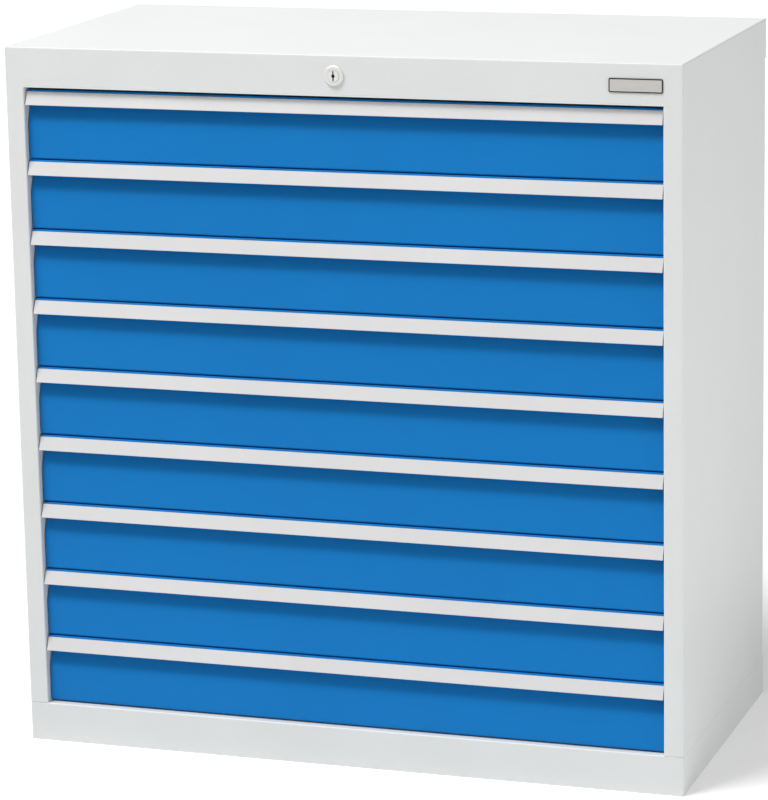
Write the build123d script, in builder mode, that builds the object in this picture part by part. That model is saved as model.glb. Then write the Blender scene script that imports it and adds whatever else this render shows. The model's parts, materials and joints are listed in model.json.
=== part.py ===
"""Drawer cabinet with nine equal full-extension drawers and a central lock.

Units are millimetres. +Z is up, X runs across the width and the front faces -Y.
The origin is on the floor, below the middle of the housing.
"""

import os

from build123d import *

os.makedirs("parts", exist_ok=True)

# Housing
CABINET_WIDTH = 980.0
CABINET_DEPTH = 500.0
BASE_HEIGHT = 57.0
FASCIA_HEIGHT = 57.0
STILE_WIDTH = 27.5
REVEAL_DEPTH = 25.0  # flange that runs back from the edge of the opening
REAR_STEP = 5.0  # the panels stand this far in from the pans at the back
REAR_FLANGE = 20.0
FOOT_FLANGE = 25.0
HOUSING_SHEET = 1.5
FOLD_RADIUS = 2.0

# Drawer rows
DRAWER_COUNT = 9
DRAWER_PITCH = 100.0
SILL_GAP = 2.0  # below the lowest front
HEAD_GAP = 3.0  # above the top row, beside the gap between rows
ROW_GAP = 3.6  # between a ledge and the next front
FRONT_SIDE_GAP = 1.5

# Drawer front, in depths behind the face of the housing and heights above the front's lower edge
FRONT_SHEET = 1.2
FACE_SETBACK = 10.0
RECESS_SETBACK = 18.5
RECESS_START = 51.0
RECESS_END = 76.0
FRONT_RETURN = 14.0
RECESS_RADIUS = 20.0

# Grip strip
GRIP_HEIGHT = 18.4
GRIP_RAKE = 7.0  # how far the upper edge stands back
GRIP_THICKNESS = 1.5
GRIP_HOOK = 2.4
GRIP_FIT = 0.3

# Drawer tray
TRAY_SHEET = 1.0
TRAY_SETBACK = 28.8
TRAY_END_GAP = 0.8  # from the end of the slides to the back of the tray
TRAY_LIFT = 4.0  # bottom of the tray above the front's lower edge
TRAY_WALL = 76.0
HEM_HEIGHT = 8.0

# Telescopic slides
SLIDE_LENGTH = 400.0
SLIDE_WIDTH = 12.7
SLIDE_SHEET = 1.2
SLIDE_LIFT = 30.0  # centre of the slide above the front's lower edge
SLIDE_SETBACK = 30.0
RAIL_HEIGHT = 45.0
RAIL_FLANGE = 9.5
RAIL_LIP = 3.0
BALL_SIZE = 3.0
RUNNING_GAP = 0.3
MEMBER_GAP = 0.8  # between the webs of the rail and the intermediate member
MEMBER_FLANGE = 8.5
RUNNER_FLANGE = 7.7

# Posts
POST_WIDTH = 40.0
FRONT_POST_SETBACK = 55.0
REAR_POST_INSET = 50.0  # from the end of the slides forward to the rear post
SLOTS_PER_DRAWER = 2
SLOT_HEIGHT = 14.0
SLOT_WIDTH = 3.4
HOOK_THICKNESS = 2.0
HOOK_NECK = 6.0
HOOK_DROP = 5.0

# Lock
ROSETTE_DIAMETER = 29.0
ROSETTE_PROUD = 3.0
BARREL_DIAMETER = 22.0
BARREL_LENGTH = 24.0
BARREL_FIT = 0.1
PLUG_DIAMETER = 17.0
PLUG_PROUD = 0.4  # beyond the rosette
KEY_SLOT_HEIGHT = 14.0
KEY_SLOT_WIDTH = 1.8
KEY_EYE = 5.0
KEY_DEPTH = 14.0
NUT_ACROSS_FLATS = 27.0
NUT_THICKNESS = 5.0
SHANK_SIDE = 8.0
CAM_SHEET = 2.5
CAM_ARM = 10.0  # from the lock's axis to the peg
CAM_HALF_WIDTH = 8.0
PEG_DIAMETER = 4.0

# Push rod and locking bar
ROD_SHEET = 2.0
ROD_HEIGHT = 12.0
ROD_MARGIN = 4.0  # sheet left round the slots of the rod
BAR_SHEET = 3.0
BAR_WIDTH = 10.0
BAR_SETBACK = 38.0
BAR_INSET = 1.0  # from the edge of the opening to the bar
BAR_NOTCH_FIT = 0.8
BAR_PIN = 5.0
BAR_HOOK_HEIGHT = 10.0
BAR_HOOK_REACH = 10.5
CATCH_HEIGHT = 8.0
CATCH_REACH = 8.0
CATCH_GAP = 3.0
LIFT_GAP = 1.5
PEG_LEAD = 0.22  # share of the cam's arm by which its peg runs ahead of a steady travel
GUIDE_SHEET = 2.0
GUIDE_FOOT = 16.0
GUIDE_PLACES = (120.0, 400.0)

# Worked out from the sizes above
HALF_WIDTH = CABINET_WIDTH / 2
OPENING_HALF = HALF_WIDTH - STILE_WIDTH
OPENING_TOP = BASE_HEIGHT + SILL_GAP + DRAWER_COUNT * DRAWER_PITCH + HEAD_GAP
CABINET_HEIGHT = OPENING_TOP + FASCIA_HEIGHT
FRONT = -CABINET_DEPTH / 2
BACK = CABINET_DEPTH / 2
PANEL_BACK = BACK - REAR_STEP
ROWS = [(0, 0, row * DRAWER_PITCH) for row in range(DRAWER_COUNT)]
SILL = BASE_HEIGHT + SILL_GAP  # lower edge of the lowest front
FRONT_HALF = OPENING_HALF - FRONT_SIDE_GAP
LEDGE = DRAWER_PITCH - ROW_GAP  # height of the ledge above the front's lower edge
TRAY_HALF = OPENING_HALF - SLIDE_WIDTH
TRAY_BACK = SLIDE_SETBACK + SLIDE_LENGTH + TRAY_END_GAP
TRAY_DEPTH = TRAY_BACK - TRAY_SETBACK - 2 * TRAY_SHEET  # clear inside
REAR_POST_SETBACK = SLIDE_SETBACK + SLIDE_LENGTH - REAR_POST_INSET
SLIDE_AXIS = SILL + SLIDE_LIFT
MEMBER_HALF = RAIL_HEIGHT / 2 - SLIDE_SHEET - RUNNING_GAP - BALL_SIZE
RUNNER_HALF = MEMBER_HALF - SLIDE_SHEET - BALL_SIZE - RUNNING_GAP
LOCK_AXIS = OPENING_TOP + FASCIA_HEIGHT / 2

across = Plane(origin=(0, FRONT, SILL), x_dir=(0, 1, 0), z_dir=(1, 0, 0))


def facing_front(depth):
    """Upright plane at a depth behind the face of the housing: x right, y up, normal to the front."""
    return Plane(origin=(0, FRONT + depth, 0), x_dir=(1, 0, 0), z_dir=(0, -1, 0))


def save(piece, name):
    """Label one finished piece and write its STEP file."""
    piece.label = name
    export_step(piece, f"parts/{name}.step")


def save_rows(piece, name):
    """Write one copy of a drawer's piece for each row, counted from the lowest."""
    for number, place in enumerate(ROWS, start=1):
        save(piece.moved(Location(place)), f"{name}_{number}")


# Top cover: a pan turned over, with a flange round its lower edge, the hole for the lock's barrel and
# the notch that the locking bar rises through
hole_half = OPENING_HALF + HOUSING_SHEET
hole_front = FRONT + REVEAL_DEPTH
hole_back = PANEL_BACK - REAR_FLANGE / 2
bar_left = OPENING_HALF + BAR_INSET
with BuildPart() as top_cover:
    with BuildSketch(Plane.XY.offset(OPENING_TOP)):
        Rectangle(CABINET_WIDTH, CABINET_DEPTH)
    extrude(amount=FASCIA_HEIGHT)
    folds = top_cover.edges().filter_by(Axis.Z) + top_cover.edges().group_by(Axis.Z)[-1]
    fillet(folds, FOLD_RADIUS)
    with BuildSketch(Plane.XY.offset(OPENING_TOP + HOUSING_SHEET)):
        Rectangle(CABINET_WIDTH - 2 * HOUSING_SHEET, CABINET_DEPTH - 2 * HOUSING_SHEET)
    extrude(amount=FASCIA_HEIGHT - 2 * HOUSING_SHEET, mode=Mode.SUBTRACT)
    with BuildSketch(Plane.XY.offset(OPENING_TOP)):
        with Locations((0, (hole_front + hole_back) / 2)):
            Rectangle(2 * hole_half, hole_back - hole_front)
        with Locations((bar_left - BAR_NOTCH_FIT, FRONT + BAR_SETBACK - BAR_NOTCH_FIT)):
            Rectangle(
                BAR_WIDTH + 2 * BAR_NOTCH_FIT,
                BAR_SHEET + 2 * BAR_NOTCH_FIT,
                align=(Align.MIN, Align.MIN),
            )
    extrude(amount=HOUSING_SHEET, mode=Mode.SUBTRACT)
    with BuildSketch(facing_front(0)):
        with Locations((0, LOCK_AXIS)):
            Circle(BARREL_DIAMETER / 2 + BARREL_FIT)
    extrude(amount=-HOUSING_SHEET, mode=Mode.SUBTRACT)
save(top_cover.part, "top_cover")

# Base pan: its top is the floor below the lowest drawer, and its foot flange stands on the ground
with BuildPart() as base_pan:
    with BuildSketch():
        Rectangle(CABINET_WIDTH, CABINET_DEPTH)
    extrude(amount=BASE_HEIGHT)
    folds = base_pan.edges().filter_by(Axis.Z) + base_pan.edges().group_by(Axis.Z)[-1]
    fillet(folds, FOLD_RADIUS)
    with BuildSketch(Plane.XY.offset(HOUSING_SHEET)):
        Rectangle(CABINET_WIDTH - 2 * HOUSING_SHEET, CABINET_DEPTH - 2 * HOUSING_SHEET)
    extrude(amount=BASE_HEIGHT - 2 * HOUSING_SHEET, mode=Mode.SUBTRACT)
    with BuildSketch():
        Rectangle(CABINET_WIDTH - 2 * FOOT_FLANGE, CABINET_DEPTH - 2 * FOOT_FLANGE)
    extrude(amount=HOUSING_SHEET, mode=Mode.SUBTRACT)
save(base_pan.part, "base_pan")

# Side panel: wall, stile, the flange beside the opening and a flange at the back, folded from one sheet
with BuildPart() as side_panel_right:
    with BuildSketch(Plane.XY.offset(BASE_HEIGHT)):
        with BuildLine():
            skin = FilletPolyline(
                (OPENING_HALF, FRONT + REVEAL_DEPTH),
                (OPENING_HALF, FRONT),
                (HALF_WIDTH, FRONT),
                (HALF_WIDTH, PANEL_BACK),
                (HALF_WIDTH - REAR_FLANGE, PANEL_BACK),
                radius=FOLD_RADIUS,
            )
            offset(skin, amount=HOUSING_SHEET, side=Side.LEFT)
        make_face()
    extrude(amount=OPENING_TOP - BASE_HEIGHT)
save(side_panel_right.part, "side_panel_right")
save(side_panel_right.part.mirror(Plane.YZ), "side_panel_left")

# Back panel: lies against the rear flanges of the side panels
with BuildPart() as back_panel:
    with BuildSketch(Plane.XY.offset(BASE_HEIGHT)):
        with Locations((0, PANEL_BACK - HOUSING_SHEET)):
            Rectangle(
                CABINET_WIDTH - 2 * FOLD_RADIUS - 2 * RUNNING_GAP,
                HOUSING_SHEET,
                align=(Align.CENTER, Align.MAX),
            )
    extrude(amount=OPENING_TOP - BASE_HEIGHT)
save(back_panel.part, "back_panel")

# Posts: channels between the pans, with a column of slots for the hooks of the rails
slot_pitch = DRAWER_PITCH / SLOTS_PER_DRAWER
slot_count = DRAWER_COUNT * SLOTS_PER_DRAWER - 1
slot_middle = SLIDE_AXIS + (slot_count - 1) / 2 * slot_pitch
post_depth = HALF_WIDTH - HOUSING_SHEET - OPENING_HALF


def slotted_posts(setback):
    """A left and a right post whose front edges stand at a depth behind the face."""
    with BuildPart() as posts:
        with BuildSketch(Plane.XY.offset(BASE_HEIGHT)):
            with Locations((OPENING_HALF, FRONT + setback)):
                Rectangle(post_depth, POST_WIDTH, align=(Align.MIN, Align.MIN))
            with Locations((OPENING_HALF + HOUSING_SHEET, FRONT + setback + HOUSING_SHEET)):
                Rectangle(
                    post_depth,
                    POST_WIDTH - 2 * HOUSING_SHEET,
                    align=(Align.MIN, Align.MIN),
                    mode=Mode.SUBTRACT,
                )
        extrude(amount=OPENING_TOP - BASE_HEIGHT)
        web = Plane(
            origin=(OPENING_HALF, FRONT + setback + POST_WIDTH / 2, slot_middle),
            x_dir=(0, 1, 0),
            z_dir=(1, 0, 0),
        )
        with BuildSketch(web):
            with GridLocations(slot_pitch, slot_pitch, 1, slot_count):
                Rectangle(SLOT_WIDTH, SLOT_HEIGHT)
        extrude(amount=HOUSING_SHEET, mode=Mode.SUBTRACT)
        mirror(about=Plane.YZ)
    return posts.part


save(slotted_posts(FRONT_POST_SETBACK), "front_posts")
save(slotted_posts(REAR_POST_SETBACK), "rear_posts")

# Cabinet rails: outer members of the slides, hooked into the posts from inside
slide_front = facing_front(SLIDE_SETBACK)
with BuildPart() as one_rail:
    with BuildSketch(slide_front):
        with BuildLine():
            rail_back = OPENING_HALF - SLIDE_SHEET / 2
            rail_edge = OPENING_HALF - RAIL_FLANGE + SLIDE_SHEET / 2
            rail_half = RAIL_HEIGHT / 2 - SLIDE_SHEET / 2
            Polyline(
                (rail_edge, SLIDE_AXIS - RAIL_HEIGHT / 2 + RAIL_LIP),
                (rail_edge, SLIDE_AXIS - rail_half),
                (rail_back, SLIDE_AXIS - rail_half),
                (rail_back, SLIDE_AXIS + rail_half),
                (rail_edge, SLIDE_AXIS + rail_half),
                (rail_edge, SLIDE_AXIS + RAIL_HEIGHT / 2 - RAIL_LIP),
            )
        trace(line_width=SLIDE_SHEET)
    extrude(amount=-SLIDE_LENGTH)
    neck_bottom = SLIDE_AXIS - SLOT_HEIGHT / 2 + RUNNING_GAP
    behind_web = OPENING_HALF + HOUSING_SHEET + RUNNING_GAP
    for post_setback in (FRONT_POST_SETBACK, REAR_POST_SETBACK):
        with BuildSketch(facing_front(post_setback + (POST_WIDTH - HOOK_THICKNESS) / 2)):
            with BuildLine():
                Polyline(
                    (OPENING_HALF, neck_bottom),
                    (behind_web, neck_bottom),
                    (behind_web, neck_bottom - HOOK_DROP),
                    (behind_web + HOOK_THICKNESS, neck_bottom - HOOK_DROP),
                    (behind_web + HOOK_THICKNESS, neck_bottom + HOOK_NECK),
                    (OPENING_HALF, neck_bottom + HOOK_NECK),
                    close=True,
                )
            make_face()
        extrude(amount=-HOOK_THICKNESS)
with BuildPart() as cabinet_rails:
    with Locations(*ROWS):
        add(one_rail.part)
    mirror(about=Plane.YZ)
save(cabinet_rails.part, "cabinet_rails")

# Intermediate member: a channel inside the rail, with the rows of balls in their cages
with BuildPart() as slide_mid:
    member_web = SLIDE_SHEET + MEMBER_GAP
    with BuildSketch(slide_front):
        with Locations((OPENING_HALF - member_web, SLIDE_AXIS)):
            Rectangle(MEMBER_FLANGE, 2 * MEMBER_HALF, align=(Align.MAX, Align.CENTER))
        with Locations((OPENING_HALF - member_web - SLIDE_SHEET, SLIDE_AXIS)):
            Rectangle(
                MEMBER_FLANGE,
                2 * (MEMBER_HALF - SLIDE_SHEET),
                align=(Align.MAX, Align.CENTER),
                mode=Mode.SUBTRACT,
            )
    extrude(amount=-SLIDE_LENGTH)
    with BuildSketch(slide_front):
        for side in (-1, 1):
            outer_row = SLIDE_AXIS + side * (MEMBER_HALF + BALL_SIZE / 2)
            inner_row = SLIDE_AXIS + side * (RUNNER_HALF + RUNNING_GAP + BALL_SIZE / 2)
            with Locations(
                (OPENING_HALF - RAIL_FLANGE / 2, outer_row),
                (OPENING_HALF - SLIDE_WIDTH / 2, inner_row),
            ):
                Rectangle(BALL_SIZE, BALL_SIZE)
    extrude(amount=-SLIDE_LENGTH)
    mirror(about=Plane.YZ)
save_rows(slide_mid.part, "slide_mid")

# Catch: stands out from the right wall of the tray, for the hook of the locking bar
catch_bottom = SLIDE_AXIS + RAIL_HEIGHT / 2 + BAR_HOOK_HEIGHT + 2 * LIFT_GAP
catch_front = BAR_SETBACK + BAR_SHEET + CATCH_GAP

# Runner: inner members of both slides, on the walls of the tray, and the drawer's catch
with BuildPart() as drawer_runner:
    with BuildSketch(slide_front):
        with Locations((TRAY_HALF, SLIDE_AXIS)):
            Rectangle(RUNNER_FLANGE, 2 * RUNNER_HALF, align=(Align.MIN, Align.CENTER))
        with Locations((TRAY_HALF + SLIDE_SHEET, SLIDE_AXIS)):
            Rectangle(
                RUNNER_FLANGE,
                2 * (RUNNER_HALF - SLIDE_SHEET),
                align=(Align.MIN, Align.CENTER),
                mode=Mode.SUBTRACT,
            )
    extrude(amount=-SLIDE_LENGTH)
    mirror(about=Plane.YZ)
    with BuildSketch(facing_front(catch_front)):
        with Locations((TRAY_HALF, catch_bottom)):
            Rectangle(CATCH_REACH, CATCH_HEIGHT, align=(Align.MIN, Align.MIN))
    extrude(amount=-BAR_SHEET)
save_rows(drawer_runner.part, "drawer_runner")

# Tray: folded sheet, open above, with hemmed walls and a higher wall behind the drawer front
with BuildPart() as drawer_tray:
    tray_middle = FRONT + (TRAY_SETBACK + TRAY_BACK) / 2
    with BuildSketch(Plane.XY.offset(SILL + TRAY_LIFT)):
        with Locations((0, tray_middle)):
            Rectangle(2 * TRAY_HALF, TRAY_BACK - TRAY_SETBACK)
    extrude(amount=TRAY_WALL)
    with BuildSketch(Plane.XY.offset(SILL + TRAY_LIFT + TRAY_SHEET)):
        with Locations((0, tray_middle)):
            Rectangle(2 * (TRAY_HALF - TRAY_SHEET), TRAY_DEPTH)
    extrude(amount=TRAY_WALL - TRAY_SHEET - HEM_HEIGHT, mode=Mode.SUBTRACT)
    with BuildSketch(Plane.XY.offset(SILL + TRAY_LIFT + TRAY_WALL - HEM_HEIGHT)):
        with Locations((0, FRONT + TRAY_SETBACK + TRAY_SHEET)):
            Rectangle(
                2 * (TRAY_HALF - 2 * TRAY_SHEET),
                TRAY_DEPTH - TRAY_SHEET,
                align=(Align.CENTER, Align.MIN),
            )
    extrude(amount=HEM_HEIGHT, mode=Mode.SUBTRACT)
    with BuildSketch(Plane.XY.offset(SILL + TRAY_LIFT)):
        with Locations((0, FRONT + TRAY_SETBACK)):
            Rectangle(2 * TRAY_HALF, TRAY_SHEET, align=(Align.CENTER, Align.MIN))
    extrude(amount=LEDGE - FRONT_SHEET - TRAY_LIFT)
save_rows(drawer_tray.part, "drawer_tray")

# Drawer front: panel with a finger recess, and a ledge that folds down behind the grip strip
grip_bottom = LEDGE - GRIP_HEIGHT
rake = GRIP_RAKE / GRIP_HEIGHT  # depth gained for each millimetre of height
slant = (1 + rake**2) ** 0.5
half_sheet = FRONT_SHEET / 2
flange_root = GRIP_THICKNESS + half_sheet * slant  # depth of the flange's middle, level with grip_bottom
with BuildPart() as drawer_front:
    with BuildSketch(across.offset(-FRONT_HALF)):
        with BuildLine():
            FilletPolyline(
                (FACE_SETBACK + FRONT_RETURN, half_sheet),
                (FACE_SETBACK + half_sheet, half_sheet),
                (FACE_SETBACK + half_sheet, RECESS_START),
                (RECESS_SETBACK + half_sheet, RECESS_END),
                (RECESS_SETBACK + half_sheet, LEDGE - half_sheet),
                radius=[FOLD_RADIUS, RECESS_RADIUS, RECESS_RADIUS],
            )
        trace(line_width=FRONT_SHEET)
        with BuildLine():
            lowest = GRIP_THICKNESS + 2 * GRIP_FIT
            FilletPolyline(
                (TRAY_SETBACK + TRAY_SHEET, LEDGE - half_sheet),
                (flange_root + rake * (GRIP_HEIGHT - half_sheet), LEDGE - half_sheet),
                (flange_root + rake * lowest, grip_bottom + lowest),
                radius=FOLD_RADIUS,
            )
        trace(line_width=FRONT_SHEET)
    extrude(amount=2 * FRONT_HALF)
    for side in (-1, 1):
        edge = across.offset(side * FRONT_HALF)
        with BuildSketch(edge):
            with Locations((FACE_SETBACK + FRONT_SHEET, FRONT_SHEET)):
                Rectangle(
                    FRONT_RETURN - FRONT_SHEET,
                    RECESS_START - RECESS_RADIUS / 2,
                    align=(Align.MIN, Align.MIN),
                )
        extrude(amount=-side * FRONT_SHEET)
save_rows(drawer_front.part, "drawer_front")

# Grip strip: sloping profile whose lower lip clips round the edge of the front's flange
hook_top = grip_bottom + GRIP_THICKNESS + GRIP_HOOK
hook_face = GRIP_THICKNESS + rake * (GRIP_THICKNESS + GRIP_HOOK) + FRONT_SHEET * slant + GRIP_FIT
with BuildPart() as grip_strip:
    with BuildSketch(across.offset(-FRONT_HALF)):
        with BuildLine():
            Polyline(
                (0, grip_bottom),
                (GRIP_RAKE, LEDGE),
                (GRIP_RAKE + GRIP_THICKNESS, LEDGE),
                (GRIP_THICKNESS + rake * GRIP_THICKNESS, grip_bottom + GRIP_THICKNESS),
                (hook_face, grip_bottom + GRIP_THICKNESS),
                (hook_face, hook_top),
                (hook_face + GRIP_THICKNESS, hook_top),
                (hook_face + GRIP_THICKNESS, grip_bottom),
                close=True,
            )
        make_face()
    extrude(amount=2 * FRONT_HALF)
save_rows(grip_strip.part, "grip_strip")

# Lock: barrel with its rosette, and the nut behind the fascia
lock_face = facing_front(-ROSETTE_PROUD)
fascia_inside = facing_front(HOUSING_SHEET)
with BuildPart() as lock_barrel:
    with BuildSketch(lock_face):
        with Locations((0, LOCK_AXIS)):
            Circle(ROSETTE_DIAMETER / 2)
    extrude(amount=-ROSETTE_PROUD)
    chamfer(lock_barrel.edges().sort_by(Axis.Y)[0], ROSETTE_PROUD / 2)
    with BuildSketch(facing_front(0)):
        with Locations((0, LOCK_AXIS)):
            Circle(BARREL_DIAMETER / 2)
    extrude(amount=-BARREL_LENGTH)
    with BuildSketch(lock_face):
        with Locations((0, LOCK_AXIS)):
            Circle(PLUG_DIAMETER / 2 + RUNNING_GAP)
    extrude(amount=-ROSETTE_PROUD - BARREL_LENGTH, mode=Mode.SUBTRACT)
save(lock_barrel.part, "lock_barrel")

with BuildPart() as lock_nut:
    with BuildSketch(fascia_inside):
        with Locations((0, LOCK_AXIS)):
            RegularPolygon(NUT_ACROSS_FLATS / 2, 6, major_radius=False)
            Circle(BARREL_DIAMETER / 2 + BARREL_FIT, mode=Mode.SUBTRACT)
    extrude(amount=-NUT_THICKNESS)
save(lock_nut.part, "lock_nut")

# Plug: turns in the barrel and carries the cam on its square shank
bar_face = BAR_SETBACK - RUNNING_GAP
rod_face = bar_face - ROD_SHEET
cam_back = rod_face - LIFT_GAP
cam_face = cam_back - CAM_SHEET
with BuildPart() as lock_plug:
    with BuildSketch(facing_front(-ROSETTE_PROUD - PLUG_PROUD)):
        with Locations((0, LOCK_AXIS)):
            Circle(PLUG_DIAMETER / 2)
            Rectangle(KEY_SLOT_WIDTH, KEY_SLOT_HEIGHT, mode=Mode.SUBTRACT)
            Circle(KEY_EYE / 2, mode=Mode.SUBTRACT)
    extrude(amount=-KEY_DEPTH)
    with BuildSketch(facing_front(KEY_DEPTH - ROSETTE_PROUD - PLUG_PROUD)):
        with Locations((0, LOCK_AXIS)):
            Circle(PLUG_DIAMETER / 2)
    extrude(amount=-(cam_face - KEY_DEPTH + ROSETTE_PROUD + PLUG_PROUD))
    with BuildSketch(facing_front(cam_face)):
        with Locations((0, LOCK_AXIS)):
            Rectangle(SHANK_SIDE, SHANK_SIDE)
    extrude(amount=-CAM_SHEET)
save(lock_plug.part, "lock_plug")

# Cam: its peg is above the axis when unlocked, and pushes the rod to the right
with BuildPart() as lock_cam:
    with BuildSketch(facing_front(cam_face)):
        with Locations((0, LOCK_AXIS), (0, LOCK_AXIS + CAM_ARM)):
            Circle(CAM_HALF_WIDTH)
        with Locations((0, LOCK_AXIS + CAM_ARM / 2)):
            Rectangle(2 * CAM_HALF_WIDTH, CAM_ARM)
        with Locations((0, LOCK_AXIS)):
            Rectangle(SHANK_SIDE, SHANK_SIDE, mode=Mode.SUBTRACT)
    extrude(amount=-CAM_SHEET)
    with BuildSketch(facing_front(cam_back)):
        with Locations((0, LOCK_AXIS + CAM_ARM)):
            Circle(PEG_DIAMETER / 2)
    extrude(amount=-(bar_face - cam_back))
save(lock_cam.part, "lock_cam")

# Push rod: an upright slot takes the peg, and a slot at 45 degrees lifts the bar's pin as the rod moves
peg_lead = PEG_LEAD * CAM_ARM
peg_slot_width = PEG_DIAMETER + 2 * RUNNING_GAP + peg_lead
peg_slot_height = CAM_ARM + PEG_DIAMETER + 2 * RUNNING_GAP
bar_middle = bar_left + BAR_WIDTH / 2
pin_slot_width = BAR_PIN + 2 * RUNNING_GAP
pin_margin = ROD_MARGIN + pin_slot_width / 2
rod_middle = LOCK_AXIS + CAM_ARM / 2
with BuildPart() as lock_rod:
    with BuildSketch(facing_front(rod_face)):
        with Locations((peg_lead / 2, rod_middle)):
            Rectangle(peg_slot_width + 2 * ROD_MARGIN, peg_slot_height + 2 * ROD_MARGIN)
        with Locations((0, rod_middle)):
            Rectangle(bar_middle - CAM_ARM, ROD_HEIGHT, align=(Align.MIN, Align.CENTER))
        with BuildLine():
            Polyline(
                (bar_middle - CAM_ARM - pin_margin, LOCK_AXIS + CAM_ARM + pin_margin),
                (bar_middle - CAM_ARM + pin_margin, LOCK_AXIS + CAM_ARM + pin_margin),
                (bar_middle + pin_margin, LOCK_AXIS + pin_margin),
                (bar_middle + pin_margin, LOCK_AXIS - pin_margin),
                (bar_middle - pin_margin, LOCK_AXIS - pin_margin),
                (bar_middle - CAM_ARM - pin_margin, LOCK_AXIS + CAM_ARM - pin_margin),
                close=True,
            )
        make_face()
        with Locations((peg_lead / 2, rod_middle)):
            Rectangle(peg_slot_width, peg_slot_height, mode=Mode.SUBTRACT)
        with Locations((bar_middle - CAM_ARM / 2, rod_middle)):
            SlotCenterToCenter(CAM_ARM * 2**0.5, pin_slot_width, rotation=135, mode=Mode.SUBTRACT)
    extrude(amount=-ROD_SHEET)
save(lock_rod.part, "lock_rod")

# Rod guides: angles on the inside of the fascia, each with a slot that the rod slides through
guide_half = ROD_HEIGHT / 2 + ROD_MARGIN
with BuildPart() as rod_guides:
    for place in GUIDE_PLACES:
        with BuildSketch(Plane.XY.offset(rod_middle - guide_half)):
            with Locations((place, FRONT + HOUSING_SHEET)):
                Rectangle(GUIDE_SHEET, BAR_SETBACK + ROD_MARGIN, align=(Align.MIN, Align.MIN))
                Rectangle(GUIDE_FOOT, GUIDE_SHEET, align=(Align.MIN, Align.MIN))
        extrude(amount=2 * guide_half)
    with BuildSketch(facing_front(rod_face - RUNNING_GAP)):
        with Locations((0, rod_middle)):
            Rectangle(CABINET_WIDTH - 4 * HOUSING_SHEET, ROD_HEIGHT + 2 * RUNNING_GAP)
    extrude(amount=-(ROD_SHEET + 2 * RUNNING_GAP), mode=Mode.SUBTRACT)
save(rod_guides.part, "rod_guides")

# Locking bar: upright strip behind the right stile
with BuildPart() as bar_strip:
    with BuildSketch(Plane.XY.offset(BASE_HEIGHT + RUNNING_GAP)):
        with Locations((bar_left, FRONT + BAR_SETBACK)):
            Rectangle(BAR_WIDTH, BAR_SHEET, align=(Align.MIN, Align.MIN))
    extrude(amount=LOCK_AXIS + pin_margin - BASE_HEIGHT - RUNNING_GAP)

# Welded to the strip: the pin that the rod lifts, and a hook for each drawer's catch
with BuildPart() as bar_fittings:
    with BuildSketch(facing_front(BAR_SETBACK)):
        with Locations((bar_middle, LOCK_AXIS)):
            Circle(BAR_PIN / 2)
    extrude(amount=ROD_SHEET + 2 * RUNNING_GAP)
    with BuildSketch(facing_front(BAR_SETBACK)):
        for place in ROWS:
            with Locations((bar_left, catch_bottom - LIFT_GAP + place[2])):
                Rectangle(BAR_HOOK_REACH, BAR_HOOK_HEIGHT, align=(Align.MAX, Align.MAX))
    extrude(amount=-BAR_SHEET)
save(Compound([*bar_strip.part.solids(), *bar_fittings.part.solids()]), "locking_bar")

print(f"{CABINET_WIDTH:g} wide, {CABINET_DEPTH:g} deep and {CABINET_HEIGHT:g} high")
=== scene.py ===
"""Looks of a steel drawer cabinet: its finishes, small added pieces, and the studio round it.

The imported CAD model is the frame. Everything here is in metres, in the frame's own place:
+Z is up, the drawers open towards -Y, and the floor is at z = 0.
"""

import json
import math

import bmesh
import bpy
from bpy.props import FloatProperty, FloatVectorProperty, IntProperty, PointerProperty
from mathutils import Matrix, Vector

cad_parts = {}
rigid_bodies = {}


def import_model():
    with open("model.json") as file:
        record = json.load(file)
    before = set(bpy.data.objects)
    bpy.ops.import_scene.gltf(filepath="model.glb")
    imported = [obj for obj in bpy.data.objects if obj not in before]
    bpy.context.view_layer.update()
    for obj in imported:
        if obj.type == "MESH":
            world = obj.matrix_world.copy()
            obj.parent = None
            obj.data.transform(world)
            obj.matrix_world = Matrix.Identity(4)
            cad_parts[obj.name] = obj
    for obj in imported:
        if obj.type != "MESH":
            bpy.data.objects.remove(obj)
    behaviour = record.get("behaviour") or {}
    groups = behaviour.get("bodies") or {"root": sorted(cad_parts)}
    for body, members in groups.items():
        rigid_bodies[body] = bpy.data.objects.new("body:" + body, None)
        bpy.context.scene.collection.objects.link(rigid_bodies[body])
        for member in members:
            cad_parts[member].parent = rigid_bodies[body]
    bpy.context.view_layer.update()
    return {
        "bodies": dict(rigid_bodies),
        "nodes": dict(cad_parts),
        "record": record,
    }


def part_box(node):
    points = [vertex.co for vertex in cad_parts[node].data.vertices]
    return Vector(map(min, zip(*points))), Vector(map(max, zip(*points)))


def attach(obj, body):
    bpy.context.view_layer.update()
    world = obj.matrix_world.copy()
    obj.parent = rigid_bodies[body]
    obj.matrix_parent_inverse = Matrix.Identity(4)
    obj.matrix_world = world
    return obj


bl_info = {
    "name": "Drawer cabinet looks",
    "version": (1, 0, 0),
    "blender": (4, 5, 0),
    "location": "3D View > Sidebar > Cabinet",
    "description": "Finishes, name plate, rivets and studio for the drawer cabinet",
    "category": "Object",
}

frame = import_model()

# Places taken from the CAD nodes

DRAWERS = sorted(
    (name for name in frame["bodies"] if name.startswith("drawer_")),
    key=lambda name: int(name.rsplit("_", 1)[1]),
)
FRONT_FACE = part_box("top_cover")[0].y
FASCIA_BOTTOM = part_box("top_cover")[0].z
BASE_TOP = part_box("base_pan")[1].z
STILE_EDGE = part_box("side_panel_right")[0].x
PANEL_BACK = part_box("side_panel_right")[1].y
SIDE_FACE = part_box("side_panel_right")[1].x

# Small sizes that go with the shapes below

SINK = 0.0001  # how deep a small piece is let into the one that carries it

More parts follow.
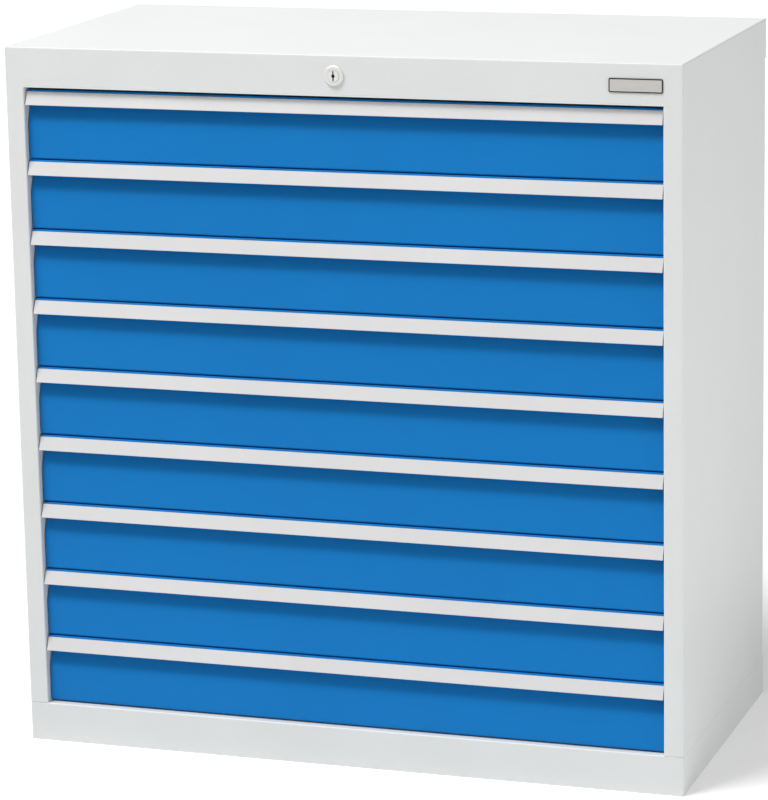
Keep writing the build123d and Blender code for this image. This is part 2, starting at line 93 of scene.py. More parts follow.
FOLD_DEPTH = 0.009  # from the front of the fold above a grip strip to its back
FOLD_END_PLAY = 0.0002  # from each end of that fold to the end of the strip
FOLD_ROUNDING = 0.0007

KEY_SLOT_WIDTH = 0.00174
KEY_SLOT_HEIGHT = 0.0138
KEY_EYE_RADIUS = 0.00245
WAFER_DEPTH = 0.004
WAFER_EDGE = 0.0002  # worn edge of the wafers
EYE_SETBACK = 0.0001  # keeps the eye's face off the slot's

PLATE_CORNER = 0.0022
PLATE_EDGE = 0.00025  # width of the plate's slanted outer edge
PLATE_EDGE_RISE = 0.0001
PLATE_RIM = 0.00125  # width of the dark line
PLATE_STEP = 0.00015  # width of the step from the dark line down to the brushed face
PLATE_STEP_DROP = 0.00025

BACK_RIVET_HEIGHT = 0.0014
BACK_RIVET_INSET = 0.011  # from the cabinet's side
BACK_RIVET_MARGIN = 0.045  # from the base pan and from the fascia's lower edge

TRAY_RIVET_HEIGHT = 0.0012
TRAY_RIVET_LEVEL = 0.0135  # above the runner's lower edge
TRAY_RIVET_SHARES = (0.08, 0.5, 0.92)  # along the tray, front to back
TRAY_SHEET = 0.001

# Studio

FLOOR_SIZE = 60.0
# Each lamp's name, setting, width, height, place and aim
LAMPS = (
    ("overhead_softbox", "key", 3.9, 3.9, (-3.1, -3.5, 8.45), (0, -0.1, 0.5)),
    ("right_strip_light", "fill", 1.5, 0.24, (2.3, -0.6, 0.15), (0, 0, 0)),
)
# The camera is fitted to the seven corners of the cabinet that the photograph shows
CAMERA_LENS = 166.186  # mm, for a sensor 36 mm wide
CAMERA_PLACE = (1.6603, -4.980, 1.6888)
CAMERA_TURN = (77.0383, 1.033, 18.4132)  # degrees


# Colours and nodes


def shade(code):
    """Linear colour of an sRGB hex value."""
    parts = [int(code[i : i + 2], 16) / 255 for i in (1, 3, 5)]
    return tuple(c / 12.92 if c <= 0.04045 else ((c + 0.055) / 1.055) ** 2.4 for c in parts)


def add_node(tree, kind, inputs=None, **settings):
    """Adds one node, sets its properties, and fills or links its inputs by name or number."""
    made = tree.nodes.new(kind)
    for key, value in settings.items():
        setattr(made, key, value)
    for key, value in (inputs or {}).items():
        if isinstance(value, bpy.types.NodeSocket):
            tree.links.new(value, made.inputs[key])
        else:
            made.inputs[key].default_value = value
    return made


def empty_tree(owner):
    """The cleared node tree of a new material or world."""
    owner.use_nodes = True
    owner.node_tree.nodes.clear()
    return owner.node_tree


def per_metre(size_mm):
    """Noise scale whose features are about this many millimetres wide on Object coordinates."""
    return 1000.0 / size_mm


def rays_that_show_white(tree):
    """1 for rays that come from the camera, from gloss or through glass, and 0 for the light."""
    path = add_node(tree, "ShaderNodeLightPath").outputs
    seen = add_node(
        tree,
        "ShaderNodeMath",
        {0: path["Is Camera Ray"], 1: path["Is Glossy Ray"]},
        operation="MAXIMUM",
    )
    seen = add_node(
        tree,
        "ShaderNodeMath",
        {0: seen.outputs["Value"], 1: path["Is Transmission Ray"]},
        operation="MAXIMUM",
    )
    return seen.outputs["Value"]


# Finishes


def powder_coat(name, colour, gloss, shine, peel_mm, peel_depth_mm):
    """Polyester powder coat on steel sheet, sprayed and baked: even colour, satin gloss and a
    faint orange peel. The real peel is 1 to 2 mm across. On the large sheets it is drawn a little
    coarser, so that the render can show it."""
    material = bpy.data.materials.new(name)
    tree = empty_tree(material)
    place = add_node(tree, "ShaderNodeTexCoord").outputs["Object"]
    cloud = add_node(
        tree,
        "ShaderNodeTexNoise",
        {"Vector": place, "Scale": per_metre(160), "Detail": 2.0, "Roughness": 0.5},
    )
    grain = add_node(
        tree,
        "ShaderNodeTexNoise",
        {"Vector": place, "Scale": per_metre(peel_mm), "Detail": 3.0, "Roughness": 0.55},
    )
    tint = add_node(
        tree,
        "ShaderNodeMapRange",
        {
            "Value": cloud.outputs["Fac"],
            "From Min": 0.3,
            "From Max": 0.7,
            "To Min": 0.975,
            "To Max": 1.015,
        },
    )
    fleck = add_node(
        tree,
        "ShaderNodeMapRange",
        {
            "Value": grain.outputs["Fac"],
            "From Min": 0.25,
            "From Max": 0.75,
            "To Min": 0.985,
            "To Max": 1.01,
        },
    )
    level = add_node(
        tree,
        "ShaderNodeMath",
        {0: tint.outputs["Result"], 1: fleck.outputs["Result"]},
        operation="MULTIPLY",
    )
    paint = add_node(
        tree,
        "ShaderNodeVectorMath",
        {0: tuple(colour), "Scale": level.outputs["Value"]},
        operation="SCALE",
    )
    satin = add_node(
        tree,
        "ShaderNodeMapRange",
        {
            "Value": cloud.outputs["Fac"],
            "From Min": 0.3,
            "From Max": 0.7,
            "To Min": gloss - 0.03,
            "To Max": gloss + 0.04,
        },
    )
    peel = add_node(
        tree,
        "ShaderNodeBump",
        {"Height": grain.outputs["Fac"], "Strength": 0.6, "Distance": peel_depth_mm / 1000},
    )
    shader = add_node(
        tree,
        "ShaderNodeBsdfPrincipled",
        {
            "Base Color": paint.outputs["Vector"],
            "Roughness": satin.outputs["Result"],
            "Normal": peel.outputs["Normal"],
            "IOR": 1.5,
            "Specular IOR Level": shine,
        },
    )
    add_node(tree, "ShaderNodeOutputMaterial", {"Surface": shader.outputs["BSDF"]})
    return material


def zinc_plate(name, colour):
    """Bright zinc plating with a clear passivation on cold-rolled steel: silvery, with a faint
    bluish and straw-coloured cloud, and drawing marks along the slide."""
    material = bpy.data.materials.new(name)
    tree = empty_tree(material)
    place = add_node(tree, "ShaderNodeTexCoord").outputs["Object"]
    cloud = add_node(
        tree,
        "ShaderNodeTexNoise",
        {"Vector": place, "Scale": per_metre(35), "Detail": 3.0, "Roughness": 0.6},
    )
    drawn = add_node(
        tree,
        "ShaderNodeMapping",
        {"Vector": place, "Scale": (per_metre(1.2), per_metre(60), per_metre(1.2))},
    )
    marks = add_node(
        tree,
        "ShaderNodeTexNoise",
        {"Vector": drawn.outputs["Vector"], "Scale": 1.0, "Detail": 2.0},
    )
    film = add_node(
        tree,
        "ShaderNodeMix",
        {
            "Factor": cloud.outputs["Fac"],
            "A": (*[c * 0.9 for c in colour], 1.0),
            "B": (min(1.0, colour[0] * 1.08), colour[1] * 1.05, colour[2] * 0.95, 1.0),
        },
        data_type="RGBA",
    )
    sheen = add_node(
        tree,
        "ShaderNodeMapRange",
        {
            "Value": marks.outputs["Fac"],
            "From Min": 0.3,
            "From Max": 0.7,
            "To Min": 0.28,
            "To Max": 0.42,
        },
    )
    scratch = add_node(
        tree,
        "ShaderNodeBump",
        {"Height": marks.outputs["Fac"], "Strength": 0.3, "Distance": 0.00004},
    )
    shader = add_node(
        tree,
        "ShaderNodeBsdfPrincipled",
        {
            "Base Color": film.outputs["Result"],
            "Metallic": 1.0,
            "Roughness": sheen.outputs["Result"],
            "Normal": scratch.outputs["Normal"],
        },
    )
    add_node(tree, "ShaderNodeOutputMaterial", {"Surface": shader.outputs["BSDF"]})
    return material


def satin_nickel(name, colour):
    """Nickel-plated die-cast zinc, tumbled: a soft warm silver with a fine grain and hardly any
    scratches."""
    material = bpy.data.materials.new(name)
    tree = empty_tree(material)
    place = add_node(tree, "ShaderNodeTexCoord").outputs["Object"]
    grain = add_node(
        tree,
        "ShaderNodeTexNoise",
        {"Vector": place, "Scale": per_metre(1.4), "Detail": 3.0, "Roughness": 0.6},
    )
    soft = add_node(
        tree,
        "ShaderNodeMapRange",
        {
            "Value": grain.outputs["Fac"],
            "From Min": 0.3,
            "From Max": 0.7,
            "To Min": 0.6,
            "To Max": 0.68,
        },
    )
    dents = add_node(
        tree,
        "ShaderNodeBump",
        {"Height": grain.outputs["Fac"], "Strength": 0.25, "Distance": 0.00005},
    )
    shader = add_node(
        tree,
        "ShaderNodeBsdfPrincipled",
        {
            "Base Color": (*colour, 1.0),
            "Metallic": 1.0,
            "Roughness": soft.outputs["Result"],
            "Normal": dents.outputs["Normal"],
        },
    )
    add_node(tree, "ShaderNodeOutputMaterial", {"Surface": shader.outputs["BSDF"]})
    return material


def slot_shade_steel(name, colour):
    """Steel wafers inside the key slot: almost black, with a dull shine. The near-black colour is
    painted shade of the deep slot."""
    material = bpy.data.materials.new(name)
    tree = empty_tree(material)
    place = add_node(tree, "ShaderNodeTexCoord").outputs["Object"]
    smear = add_node(
        tree,
        "ShaderNodeTexNoise",
        {"Vector": place, "Scale": per_metre(1.5), "Detail": 2.0, "Roughness": 0.5},
    )
    dull = add_node(
        tree,
        "ShaderNodeMapRange",
        {
            "Value": smear.outputs["Fac"],
            "From Min": 0.3,
            "From Max": 0.7,
            "To Min": 0.55,
            "To Max": 0.8,
        },
    )
    shader = add_node(
        tree,
        "ShaderNodeBsdfPrincipled",
        {
            "Base Color": (*colour, 1.0),
            "Roughness": dull.outputs["Result"],
            "Specular IOR Level": 0.15,
        },
    )
    add_node(tree, "ShaderNodeOutputMaterial", {"Surface": shader.outputs["BSDF"]})
    return material


def brushed_aluminium(name, colour):
    """Aluminium sheet brushed along its length: a grey sheen in fine level lines. The real lines
    are about 0.1 mm apart; they are drawn at 0.5 mm so that they show."""
    material = bpy.data.materials.new(name)
    tree = empty_tree(material)
    place = add_node(tree, "ShaderNodeTexCoord").outputs["Object"]
    along = add_node(
        tree,
        "ShaderNodeMapping",
        {"Vector": place, "Scale": (per_metre(40), per_metre(0.5), per_metre(0.5))},
    )
    lines = add_node(
        tree,
        "ShaderNodeTexNoise",
        {"Vector": along.outputs["Vector"], "Scale": 1.0, "Detail": 3.0},
    )
    tone = add_node(
        tree,
        "ShaderNodeMix",
        {
            "Factor": lines.outputs["Fac"],
            "A": (*[c * 0.82 for c in colour], 1.0),
            "B": (*[min(1.0, c * 1.12) for c in colour], 1.0),
        },
        data_type="RGBA",
    )
    score = add_node(
        tree,
        "ShaderNodeBump",
        {"Height": lines.outputs["Fac"], "Strength": 0.3, "Distance": 0.00003},
    )
    shader = add_node(
        tree,
        "ShaderNodeBsdfPrincipled",
        {
            "Base Color": tone.outputs["Result"],
            "Metallic": 1.0,
            "Roughness": 0.38,
            "Normal": score.outputs["Normal"],
        },
    )
    add_node(tree, "ShaderNodeOutputMaterial", {"Surface": shader.outputs["BSDF"]})
    return material


def pale_floor(name, colour):
    """Matt pale floor that fades to white with distance, and keeps the cabinet's shadow."""
    material = bpy.data.materials.new(name)
    tree = empty_tree(material)
    place = add_node(tree, "ShaderNodeTexCoord").outputs["Object"]
    away = add_node(tree, "ShaderNodeVectorMath", {0: place}, operation="LENGTH")
    haze = add_node(
        tree,
        "ShaderNodeMapRange",
        {
            "Value": away.outputs["Value"],
            "From Min": 1.0,
            "From Max": 6.0,
            "To Min": 0.25,
            "To Max": 0.72,
        },
        interpolation_type="SMOOTHSTEP",
    )
    lift = add_node(
        tree,
        "ShaderNodeMath",
        {0: rays_that_show_white(tree), 1: haze.outputs["Result"]},
        operation="MULTIPLY",
    )
    shader = add_node(
        tree,
        "ShaderNodeBsdfPrincipled",
        {
            "Base Color": (*colour, 1.0),
            "Roughness": 0.9,
            "Specular IOR Level": 0.0,
            "Emission Color": (1.0, 1.0, 1.0, 1.0),
            "Emission Strength": lift.outputs["Value"],
        },
    )
    add_node(tree, "ShaderNodeOutputMaterial", {"Surface": shader.outputs["BSDF"]})
    return material


# Modelling


def begin():
    """Leaves nothing selected and nothing active, before a new piece is added."""
    bpy.ops.object.select_all(action="DESELECT")
    bpy.context.view_layer.objects.active = None


def choose(*objects):
    """Selects only these objects and makes the first one active."""
    bpy.ops.object.select_all(action="DESELECT")
    for obj in objects:
        obj.select_set(True)
    bpy.context.view_layer.objects.active = objects[0]


def pick(obj, faces=None, edges=None):
    """In edit mode, selects only the faces or edges that pass a test of their bmesh element."""
    mesh = bmesh.from_edit_mesh(obj.data)
    for part in (*mesh.faces, *mesh.edges, *mesh.verts):
        part.select_set(False)
    found = [face for face in mesh.faces if faces is not None and faces(face)]
    found += [edge for edge in mesh.edges if edges is not None and edges(edge)]
    for part in found:
        part.select_set(True)
    mesh.select_flush_mode()
    bmesh.update_edit_mesh(obj.data)
    if not found:
        raise RuntimeError(f"nothing was found to select on {obj.name}")


def block(middle, size):
    """A new box of these sizes about a middle, as the start of a piece."""
    bpy.ops.mesh.primitive_cube_add(size=1.0, location=middle, scale=size)
    bpy.ops.object.transform_apply(location=False, rotation=False, scale=True)
    return bpy.context.active_object


def duplicate(pattern):
    """A copy of a modelled piece, with its own mesh."""
    choose(pattern)
    bpy.ops.object.duplicate(linked=False)
    return bpy.context.active_object


def joined_copies(pattern, places):
    """Copies of a modelled piece, joined into one object. Each place is a matrix."""
    made = []
    for place in places:
        one = duplicate(pattern)
        one.matrix_world = place
        made.append(one)
    choose(*made)
    bpy.ops.object.transform_apply(location=True, rotation=True, scale=True)
    bpy.ops.object.join()
    return bpy.context.active_object


def rivet_head(name, radius, height):
    """One blind rivet's head about +Z at the origin: a low dome with the pulled pin's dimple."""
    begin()
    bpy.ops.mesh.primitive_cylinder_add(
        vertices=20, radius=radius, depth=height * 0.4, location=(0, 0, height * 0.2)
    )
    head = bpy.context.active_object
    head.name = name
    bpy.ops.object.mode_set(mode="EDIT")
    bpy.ops.mesh.select_mode(type="FACE")
    pick(head, faces=lambda f: f.normal.z > 0.9)
    # Three rings build the dome and the fourth is the dimple. Each goes inwards by a share of the
    # radius, and up or down by a share of the height.
    for inward, upward in ((0.16, 0.3), (0.22, 0.2), (0.22, 0.1), (0.06, -0.25)):
        bpy.ops.mesh.inset(thickness=radius * inward, depth=0.0)
        bpy.ops.transform.translate(value=(0, 0, height * upward))
    bpy.ops.mesh.select_all(action="SELECT")
    bpy.ops.mesh.normals_make_consistent(inside=False)
    bpy.ops.object.mode_set(mode="OBJECT")
    bpy.ops.object.shade_smooth_by_angle(angle=math.radians(50))
    return head


def settle(obj, name, body):
    """Puts the place of a finished piece into its mesh, names it and lets it ride on its body."""
    choose(obj)
    bpy.ops.object.transform_apply(location=True, rotation=True, scale=True)
    obj.name = name
    obj.data.name = name
    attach(obj, body)


def coat_nodes(slot, material):
    """Gives a finish to each CAD node that the record lists under a material slot."""
    parts = frame["record"]["subparts"]
    names = [part["node"] for part in parts if part["material_slot"] == slot]
    if not names:
        raise RuntimeError(f"the record has no node with the slot {slot}")
    for name in names:
        mesh = frame["nodes"][name].data
        mesh.materials.clear()
        mesh.materials.append(material)


# Settings


class CabinetColours(bpy.types.PropertyGroup):
    """Colours of the finishes."""

    housing: FloatVectorProperty(
        name="Housing",
        description="Powder coat of the housing",
        subtype="COLOR",
        min=0.0,
        max=1.0,
        default=shade("#DCDEDD"),
    )
    drawers: FloatVectorProperty(
        name="Drawer fronts",
        description="Powder coat of the drawer fronts",
        subtype="COLOR",
        min=0.0,
        max=1.0,
        default=shade("#0F77BF"),
    )
    grips: FloatVectorProperty(
        name="Grip strips",
        description="Lacquer of the grip strips",
        subtype="COLOR",
        min=0.0,
        max=1.0,
        default=shade("#D2D1D1"),
    )
    inside: FloatVectorProperty(
        name="Trays and posts",
        description="Powder coat of the trays and posts",
        subtype="COLOR",
        min=0.0,
        max=1.0,
        default=shade("#D3D5D4"),
    )
    zinc: FloatVectorProperty(
        name="Zinc plating",
        description="Plating of the slides, the rod, the locking bar and the rivets",
        subtype="COLOR",
        min=0.0,
        max=1.0,
        default=shade("#C0C5C9"),
    )
    nickel: FloatVectorProperty(
        name="Lock",
        description="Plating of the lock",
        subtype="COLOR",
        min=0.0,
        max=1.0,
        default=shade("#CBCBC8"),
    )
    # Near-black colour of the plate in the key slot: painted shade of the deep slot, on a
    # stand-in for the lock's wafers
    wafers: FloatVectorProperty(
        name="Wafers",
        description="Greased wafers in the key slot",
        subtype="COLOR",
        min=0.0,
        max=1.0,
        default=shade("#141416"),
    )
    plate: FloatVectorProperty(
        name="Name plate",
        description="Brushed face of the bare name plate",
        subtype="COLOR",
        min=0.0,
        max=1.0,
        default=shade("#B3B1AE"),
    )
    plate_rim: FloatVectorProperty(
        name="Name plate's rim",
        description="Dark line round the bare name plate",
        subtype="COLOR",
        min=0.0,
        max=1.0,
        default=shade("#1D1F22"),
    )
    floor: FloatVectorProperty(
        name="Floor",
        description="Colour of the studio's floor",
        subtype="COLOR",
        min=0.0,
        max=1.0,
        default=shade("#EDEDED"),
    )


class CabinetSizes(bpy.types.PropertyGroup):
    """Sizes of the small pieces."""

    plate_width: FloatProperty(
        name="Plate width",
        description="Width of the name plate, which ends in line with the drawers",
        subtype="DISTANCE",
        unit="LENGTH",
        min=0.02,
        max=0.2,
        default=0.0746,
    )
    plate_height: FloatProperty(
        name="Plate height",
        description="Height of the name plate",
        subtype="DISTANCE",
        unit="LENGTH",
        min=0.008,
        max=0.04,
        default=0.0192,
    )
    plate_lift: FloatProperty(
        name="Plate above the opening",
        description="From the opening up to the lower edge of the name plate",
        subtype="DISTANCE",
        unit="LENGTH",
        min=0.002,
        max=0.03,
        default=0.0173,
    )
    plate_thickness: FloatProperty(
        name="Plate thickness",
        description="How far the name plate stands out from the fascia",
        subtype="DISTANCE",
        unit="LENGTH",
        min=0.0005,
        max=0.003,
        default=0.0012,
    )
    fold_height: FloatProperty(
        name="Fold above the strips",
        description="How far the fold of the blue sheet stands above each grip strip",
        subtype="DISTANCE",
        unit="LENGTH",
        min=0.0005,
        max=0.003,
        default=0.0022,
    )
    fold_setback: FloatProperty(
        name="Setback of that fold",
        description="From the lower edge of the grip strip back to the fold above it",
        subtype="DISTANCE",
        unit="LENGTH",
        min=0.0,
        max=0.01,
        default=0.0083,
    )
    key_way: FloatProperty(
        name="Depth of the key way",
        description="From the face of the lock's plug to the dark wafers in its key slot",
        subtype="DISTANCE",
        unit="LENGTH",
        min=0.0002,
        max=0.005,
        default=0.0005,
    )
    rivet_diameter: FloatProperty(
        name="Rivet diameter",
        description="Diameter of the heads of the blind rivets",
        subtype="DISTANCE",
        unit="LENGTH",
        min=0.003,
        max=0.012,
        default=0.0078,
    )
    rivets_up: IntProperty(
        name="Rivets up the back",
        description="Rivets along each rear flange of the housing",
        min=2,
        max=20,
        default=7,
    )


class CabinetStudio(bpy.types.PropertyGroup):
    """Light levels."""

    sky: FloatProperty(
        name="Room light",
        description="Strength of the even light from all round",
        min=0.0,
        max=2.0,
        default=0.33,
    )
    key: FloatProperty(
        name="Overhead light",
        description="Power of the large soft lamp overhead, in watts",
        min=0.0,
        max=5000.0,
        default=820.0,
    )
    fill: FloatProperty(
        name="Side light",
        description="Power of the soft lamp on the right, in watts",
        min=0.0,
        max=5000.0,
        default=12.0,
    )


# Operators


class CABINET_OT_housing_finish(bpy.types.Operator):
    """Coat the housing, the trays and the posts in light grey powder paint"""

    bl_idname = "cabinet.housing_finish"
    bl_label = "Housing finish"

    def execute(self, context):
        colours = context.scene.cabinet_colours
        outer = powder_coat(
            "light_grey_powder_coat",
            colours.housing,
            gloss=0.42,
            shine=0.35,
            peel_mm=2.6,
            peel_depth_mm=0.05,
        )
        inner = powder_coat(
            "inner_grey_powder_coat",
            colours.inside,
            gloss=0.46,
            shine=0.35,
            peel_mm=2.6,
            peel_depth_mm=0.05,
        )
        coat_nodes("housing_paint", outer)
        coat_nodes("inner_paint", inner)
        return {"FINISHED"}


class CABINET_OT_drawer_finish(bpy.types.Operator):
    """Coat the drawer fronts in blue powder paint and lacquer the grip strips"""

    bl_idname = "cabinet.drawer_finish"
    bl_label = "Drawer finish"

    def execute(self, context):
        colours = context.scene.cabinet_colours
        blue = powder_coat(
            "blue_powder_coat",
            colours.drawers,
            gloss=0.45,
            shine=0.12,
            peel_mm=2.2,
            peel_depth_mm=0.05,
        )
        lacquer = powder_coat(
            "light_grey_lacquer",
            colours.grips,
            gloss=0.34,
            shine=0.35,
            peel_mm=1.8,
            peel_depth_mm=0.02,
        )
        coat_nodes("drawer_paint", blue)
        coat_nodes("grip_aluminium", lacquer)
        return {"FINISHED"}


class CABINET_OT_metal_finish(bpy.types.Operator):
    """Plate the slides and the locking parts with zinc and the lock with nickel"""

    bl_idname = "cabinet.metal_finish"
    bl_label = "Plated metal finish"

    def execute(self, context):
        colours = context.scene.cabinet_colours
        coat_nodes("zinc_steel", zinc_plate("bright_zinc_plating", colours.zinc))
        coat_nodes("lock_nickel", satin_nickel("satin_nickel_plating", colours.nickel))
        return {"FINISHED"}


class CABINET_OT_ledge_folds(bpy.types.Operator):
    """Model the rounded fold of the blue sheet that shows above each grip strip"""

    bl_idname = "cabinet.ledge_folds"
    bl_label = "Folds above the grip strips"

    def execute(self, context):
        sizes = context.scene.cabinet_sizes
        low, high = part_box("grip_strip_1")
        front = low.y + sizes.fold_setback
        root = high.z - SINK
        tall = sizes.fold_height + SINK
        begin()
        fold = block(
            (0, front + FOLD_DEPTH / 2, root + tall / 2),
            (high.x - low.x - 2 * FOLD_END_PLAY, FOLD_DEPTH, tall),
        )
        bpy.ops.object.mode_set(mode="EDIT")
        bpy.ops.mesh.select_mode(type="EDGE")
        pick(fold, edges=lambda e: all(v.co.y < 0 < v.co.z for v in e.verts))
        bpy.ops.mesh.bevel(offset=FOLD_ROUNDING, segments=3, affect="EDGES")
        bpy.ops.object.mode_set(mode="OBJECT")
        bpy.ops.object.shade_smooth_by_angle(angle=math.radians(40))
        fold.data.materials.append(frame["nodes"]["drawer_front_1"].data.materials[0])
        for body in DRAWERS:
            number = body.rsplit("_", 1)[1]
            one = duplicate(fold)
            one.location.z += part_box(f"grip_strip_{number}")[0].z - low.z
            settle(one, f"ledge_fold_{number}", body)
        bpy.data.objects.remove(fold)
        return {"FINISHED"}


class CABINET_OT_key_way(bpy.types.Operator):
    """Model the dark wafers in the key slot of the lock, near-black as painted shade of the slot
    """

    bl_idname = "cabinet.key_way"
    bl_label = "Key way"

    def execute(self, context):
        low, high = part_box("lock_plug")
        level = (low.z + high.z) / 2
        middle = low.y + context.scene.cabinet_sizes.key_way + WAFER_DEPTH / 2
        begin()
        slot = block((0, middle, level), (KEY_SLOT_WIDTH, WAFER_DEPTH, KEY_SLOT_HEIGHT))
        bpy.ops.mesh.primitive_cylinder_add(
            vertices=24,
            radius=KEY_EYE_RADIUS,
            depth=WAFER_DEPTH,
            location=(0, middle + EYE_SETBACK, level),
            rotation=(math.radians(90), 0, 0),
        )
        eye = bpy.context.active_object
        choose(slot, eye)
        bpy.ops.object.join()
        bpy.ops.object.mode_set(mode="EDIT")
        bpy.ops.mesh.select_mode(type="EDGE")
        # The mesh lies about the slot's middle, so its front edges are those well towards -Y
        pick(slot, edges=lambda e: all(v.co.y < -0.4 * WAFER_DEPTH for v in e.verts))
        bpy.ops.mesh.bevel(offset=WAFER_EDGE, segments=2, affect="EDGES")
        bpy.ops.object.mode_set(mode="OBJECT")
        # The plate stands for the lock's wafers, and its near-black colour is painted shade of
        # the deep key slot
        dark = slot_shade_steel("greased_steel_wafers", context.scene.cabinet_colours.wafers)
        slot.data.materials.append(dark)
        settle(slot, "key_way", "lock")
        return {"FINISHED"}


class CABINET_OT_name_plate(bpy.types.Operator):
    """Model the bare name plate on the fascia"""

    bl_idname = "cabinet.name_plate"
    bl_label = "Name plate"

    def execute(self, context):
        sizes = context.scene.cabinet_sizes
        colours = context.scene.cabinet_colours
        width, height, deep = sizes.plate_width, sizes.plate_height, sizes.plate_thickness
        bottom = FASCIA_BOTTOM + sizes.plate_lift
        begin()
        plate = block(
            (STILE_EDGE - width / 2, FRONT_FACE - deep / 2, bottom + height / 2),
            (width, deep, height),
        )
        rim = powder_coat(
            "dark_plate_lacquer",
            colours.plate_rim,
            gloss=0.4,
            shine=0.3,
            peel_mm=1.5,
            peel_depth_mm=0.01,
        )
        plate.data.materials.append(rim)
        plate.data.materials.append(brushed_aluminium("brushed_aluminium_sheet", colours.plate))
        bpy.ops.object.mode_set(mode="EDIT")
        bpy.ops.mesh.select_mode(type="EDGE")
        pick(plate, edges=lambda e: abs(e.verts[0].co.y - e.verts[1].co.y) > deep * 0.9)
        bpy.ops.mesh.bevel(offset=PLATE_CORNER, segments=5, affect="EDGES")
        bpy.ops.mesh.select_mode(type="FACE")
        pick(plate, faces=lambda f: f.normal.y < -0.9)
        bpy.ops.mesh.inset(thickness=PLATE_EDGE, depth=0.0)
        bpy.ops.transform.translate(value=(0, -PLATE_EDGE_RISE, 0))
        bpy.ops.mesh.inset(thickness=PLATE_RIM, depth=0.0)
        bpy.ops.mesh.inset(thickness=PLATE_STEP, depth=0.0)
        bpy.ops.transform.translate(value=(0, PLATE_STEP_DROP, 0))
        plate.active_material_index = 1
        bpy.ops.object.material_slot_assign()
        bpy.ops.object.mode_set(mode="OBJECT")
        settle(plate, "name_plate", "housing")
        return {"FINISHED"}


class CABINET_OT_back_rivets(bpy.types.Operator):
    """Model the blind rivets that hold the back panel to the rear flanges"""

    bl_idname = "cabinet.back_rivets"
    bl_label = "Rivets of the back panel"

    def execute(self, context):
        sizes = context.scene.cabinet_sizes
        head = rivet_head("rivet_pattern", sizes.rivet_diameter / 2, BACK_RIVET_HEIGHT)
        low = BASE_TOP + BACK_RIVET_MARGIN
        high = FASCIA_BOTTOM - BACK_RIVET_MARGIN
        steps = sizes.rivets_up - 1
        backwards = Matrix.Rotation(math.radians(-90), 4, "X")
        places = []
        for side in (-1, 1):
            for step in range(steps + 1):
                x = side * (SIDE_FACE - BACK_RIVET_INSET)
                z = low + (high - low) * step / steps
                places.append(Matrix.Translation((x, PANEL_BACK - SINK, z)) @ backwards)
        rivets = joined_copies(head, places)
        plating = zinc_plate("zinc_plated_rivets", context.scene.cabinet_colours.zinc)
        rivets.data.materials.append(plating)
        settle(rivets, "back_rivets", "housing")
        bpy.data.objects.remove(head)
        return {"FINISHED"}


class CABINET_OT_tray_rivets(bpy.types.Operator):
    """Model the rivets that hold the runners to the walls of each tray"""

    bl_idname = "cabinet.tray_rivets"
    bl_label = "Rivets of the trays"

    def execute(self, context):
        sizes = context.scene.cabinet_sizes
        plating = zinc_plate("zinc_plated_tray_rivets", context.scene.cabinet_colours.zinc)
        head = rivet_head("tray_rivet_pattern", sizes.rivet_diameter / 2, TRAY_RIVET_HEIGHT)
        for body in DRAWERS:
            number = body.rsplit("_", 1)[1]
            low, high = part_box(f"drawer_tray_{number}")
            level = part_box(f"drawer_runner_{number}")[0].z + TRAY_RIVET_LEVEL
            places = []
            for side in (-1, 1):
                inwards = Matrix.Rotation(math.radians(-90 * side), 4, "Y")
                x = side * (high.x - TRAY_SHEET + SINK)
                for share in TRAY_RIVET_SHARES:
                    y = low.y + (high.y - low.y) * share
                    places.append(Matrix.Translation((x, y, level)) @ inwards)
            rivets = joined_copies(head, places)
            rivets.data.materials.append(plating)
            settle(rivets, f"tray_rivets_{number}", body)
        bpy.data.objects.remove(head)
        return {"FINISHED"}


class CABINET_OT_studio(bpy.types.Operator):
    """Set up the floor, the white room, the soft lamps and the camera"""

    bl_idname = "cabinet.studio"
    bl_label = "Studio"

    def execute(self, context):
        scene = context.scene
        begin()
        bpy.ops.mesh.primitive_plane_add(size=FLOOR_SIZE, location=(0, 0, 0))
        floor = bpy.context.active_object
        floor.name = "studio_floor"
        floor.data.materials.append(pale_floor("pale_studio_floor", scene.cabinet_colours.floor))

        scene.world = bpy.data.worlds.new("white_room")
        tree = empty_tree(scene.world)
        strength = add_node(
            tree,
            "ShaderNodeMapRange",
            {
                "Value": rays_that_show_white(tree),
                "To Min": scene.cabinet_studio.sky,
                "To Max": 1.0,
            },
        )
        room = add_node(
            tree,
            "ShaderNodeBackground",
            {"Color": (1.0, 1.0, 1.0, 1.0), "Strength": strength.outputs["Result"]},
        )
        add_node(tree, "ShaderNodeOutputWorld", {"Surface": room.outputs["Background"]})

        for name, setting, width, height, spot, aim in LAMPS:
            lamp = bpy.data.lights.new(name, "AREA")
            lamp.shape = "RECTANGLE"
            lamp.size = width
            lamp.size_y = height
            lamp.energy = getattr(scene.cabinet_studio, setting)
            holder = bpy.data.objects.new(name, lamp)
            holder.visible_camera = False
            holder.location = spot
            holder.rotation_mode = "QUATERNION"
            holder.rotation_quaternion = (Vector(aim) - Vector(spot)).to_track_quat("-Z", "Y")
            scene.collection.objects.link(holder)

        lens = bpy.data.cameras.new("photo_camera")
        lens.lens = CAMERA_LENS
        lens.sensor_width = 36.0
        lens.clip_start = 0.1
        lens.clip_end = 200.0
        camera = bpy.data.objects.new("photo_camera", lens)
        camera.location = CAMERA_PLACE
        camera.rotation_euler = [math.radians(angle) for angle in CAMERA_TURN]
        scene.collection.objects.link(camera)
        scene.camera = camera
        scene.view_settings.view_transform = "Standard"
        return {"FINISHED"}


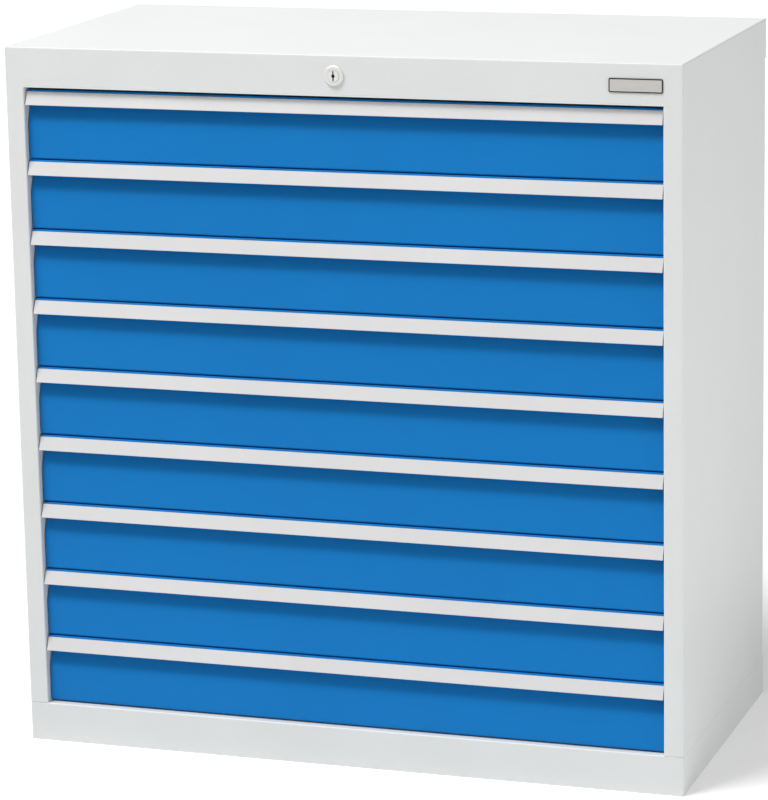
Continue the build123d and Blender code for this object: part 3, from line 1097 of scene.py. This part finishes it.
class CABINET_PT_panel(bpy.types.Panel):
    """Sizes, colours and steps of the cabinet's looks"""

    bl_idname = "CABINET_PT_panel"
    bl_label = "Drawer cabinet"
    bl_space_type = "VIEW_3D"
    bl_region_type = "UI"
    bl_category = "Cabinet"

    def draw(self, context):
        layout = self.layout
        for title, group in (
            ("Colours", context.scene.cabinet_colours),
            ("Sizes", context.scene.cabinet_sizes),
            ("Studio", context.scene.cabinet_studio),
        ):
            box = layout.box()
            box.label(text=title)
            for key in group.bl_rna.properties.keys():
                if key not in ("rna_type", "name"):
                    box.prop(group, key)
        for step in STEPS:
            layout.operator(step.bl_idname)


STEPS = (
    CABINET_OT_housing_finish,
    CABINET_OT_drawer_finish,
    CABINET_OT_metal_finish,
    CABINET_OT_ledge_folds,
    CABINET_OT_key_way,
    CABINET_OT_name_plate,
    CABINET_OT_back_rivets,
    CABINET_OT_tray_rivets,
    CABINET_OT_studio,
)
GROUPS = (
    (CabinetColours, "cabinet_colours"),
    (CabinetSizes, "cabinet_sizes"),
    (CabinetStudio, "cabinet_studio"),
)


def register():
    """Registers the settings, the steps and the panel."""
    for group, key in GROUPS:
        bpy.utils.register_class(group)
        setattr(bpy.types.Scene, key, PointerProperty(type=group))
    for step in STEPS:
        bpy.utils.register_class(step)
    bpy.utils.register_class(CABINET_PT_panel)


def unregister():
    """Takes the panel, the steps and the settings away again."""
    bpy.utils.unregister_class(CABINET_PT_panel)
    for step in reversed(STEPS):
        bpy.utils.unregister_class(step)
    for group, key in reversed(GROUPS):
        delattr(bpy.types.Scene, key)
        bpy.utils.unregister_class(group)


def main():
    """Runs every step in order."""
    register()
    bpy.ops.cabinet.housing_finish()
    bpy.ops.cabinet.drawer_finish()
    bpy.ops.cabinet.metal_finish()
    bpy.ops.cabinet.ledge_folds()
    bpy.ops.cabinet.key_way()
    bpy.ops.cabinet.name_plate()
    bpy.ops.cabinet.back_rivets()
    bpy.ops.cabinet.tray_rivets()
    bpy.ops.cabinet.studio()


if __name__ == "__main__":
    main()
